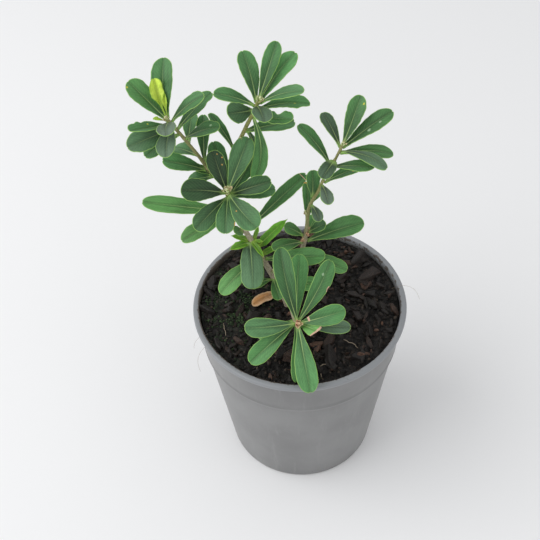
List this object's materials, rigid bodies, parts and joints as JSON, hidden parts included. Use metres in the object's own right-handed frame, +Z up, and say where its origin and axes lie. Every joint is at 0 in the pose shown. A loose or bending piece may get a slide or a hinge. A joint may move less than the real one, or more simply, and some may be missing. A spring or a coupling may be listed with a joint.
{
  "type": "potted daphne",
  "caption": "Small evergreen shrub with spoon-shaped leaves in rosettes at the shoot tips, rooted in dark potting mix in a tapered round nursery pot with a rolled lip.",
  "frame": {"origin": "centre of the pot's flat underside, on the floor", "axes": "+Z up through the pot; -Y is the side that the picture sees, with the low front shoot; +X is to the right in the picture"},
  "size_m": [0.1648, 0.1455, 0.3055],
  "materials": {
    "pot": "satin grey, lightly scuffed",
    "potting_mix": "dark, coarse and damp",
    "bark": "grey-brown bark",
    "green_twig": "smooth green-brown",
    "leaf": "leathery, semi-gloss dark green",
    "young_leaf": "soft bright yellow-green",
    "dead_leaf": "dry tan"
  },
  "bodies": {
    "root": {"pot": "pot", "potting_mix": "potting_mix", "main_stem": "bark", "right_stem": "bark", "front_stem": "bark", "middle_twig": "green_twig", "near_shoot": "green_twig", "dead_leaf": "dead_leaf", "left_leaf_1": "leaf", "left_leaf_2": "leaf", "left_leaf_3": "leaf", "left_leaf_4": "leaf", "left_leaf_5": "leaf", "left_leaf_6": "leaf", "left_leaf_7": "leaf", "left_leaf_8": "leaf", "left_leaf_9": "leaf", "middle_leaf_1": "leaf", "middle_leaf_2": "leaf", "middle_leaf_3": "leaf", "middle_leaf_4": "leaf", "middle_leaf_5": "leaf", "middle_leaf_6": "leaf", "middle_leaf_7": "leaf", "middle_leaf_8": "leaf", "middle_leaf_9": "leaf", "near_leaf_1": "leaf", "near_leaf_2": "leaf", "near_leaf_3": "leaf", "near_leaf_4": "leaf", "near_leaf_5": "leaf", "near_leaf_6": "leaf", "near_leaf_7": "leaf", "right_leaf_1": "leaf", "right_leaf_2": "leaf", "right_leaf_3": "leaf", "right_leaf_4": "leaf", "right_leaf_5": "leaf", "right_leaf_6": "leaf", "right_leaf_7": "leaf", "right_leaf_8": "leaf", "right_leaf_9": "leaf", "right_leaf_10": "leaf", "low_leaf_1": "leaf", "low_leaf_2": "leaf", "low_leaf_3": "leaf", "low_leaf_4": "leaf", "low_leaf_5": "leaf", "low_leaf_6": "leaf", "low_leaf_7": "leaf", "young_leaf": "young_leaf", "front_leaf_1": "leaf", "front_leaf_2": "leaf", "front_leaf_3": "leaf", "front_leaf_4": "leaf", "front_leaf_5": "leaf", "front_leaf_6": "leaf", "front_leaf_7": "leaf", "front_leaf_8": "leaf", "front_leaf_9": "leaf"}
  },
  "joints": []
}
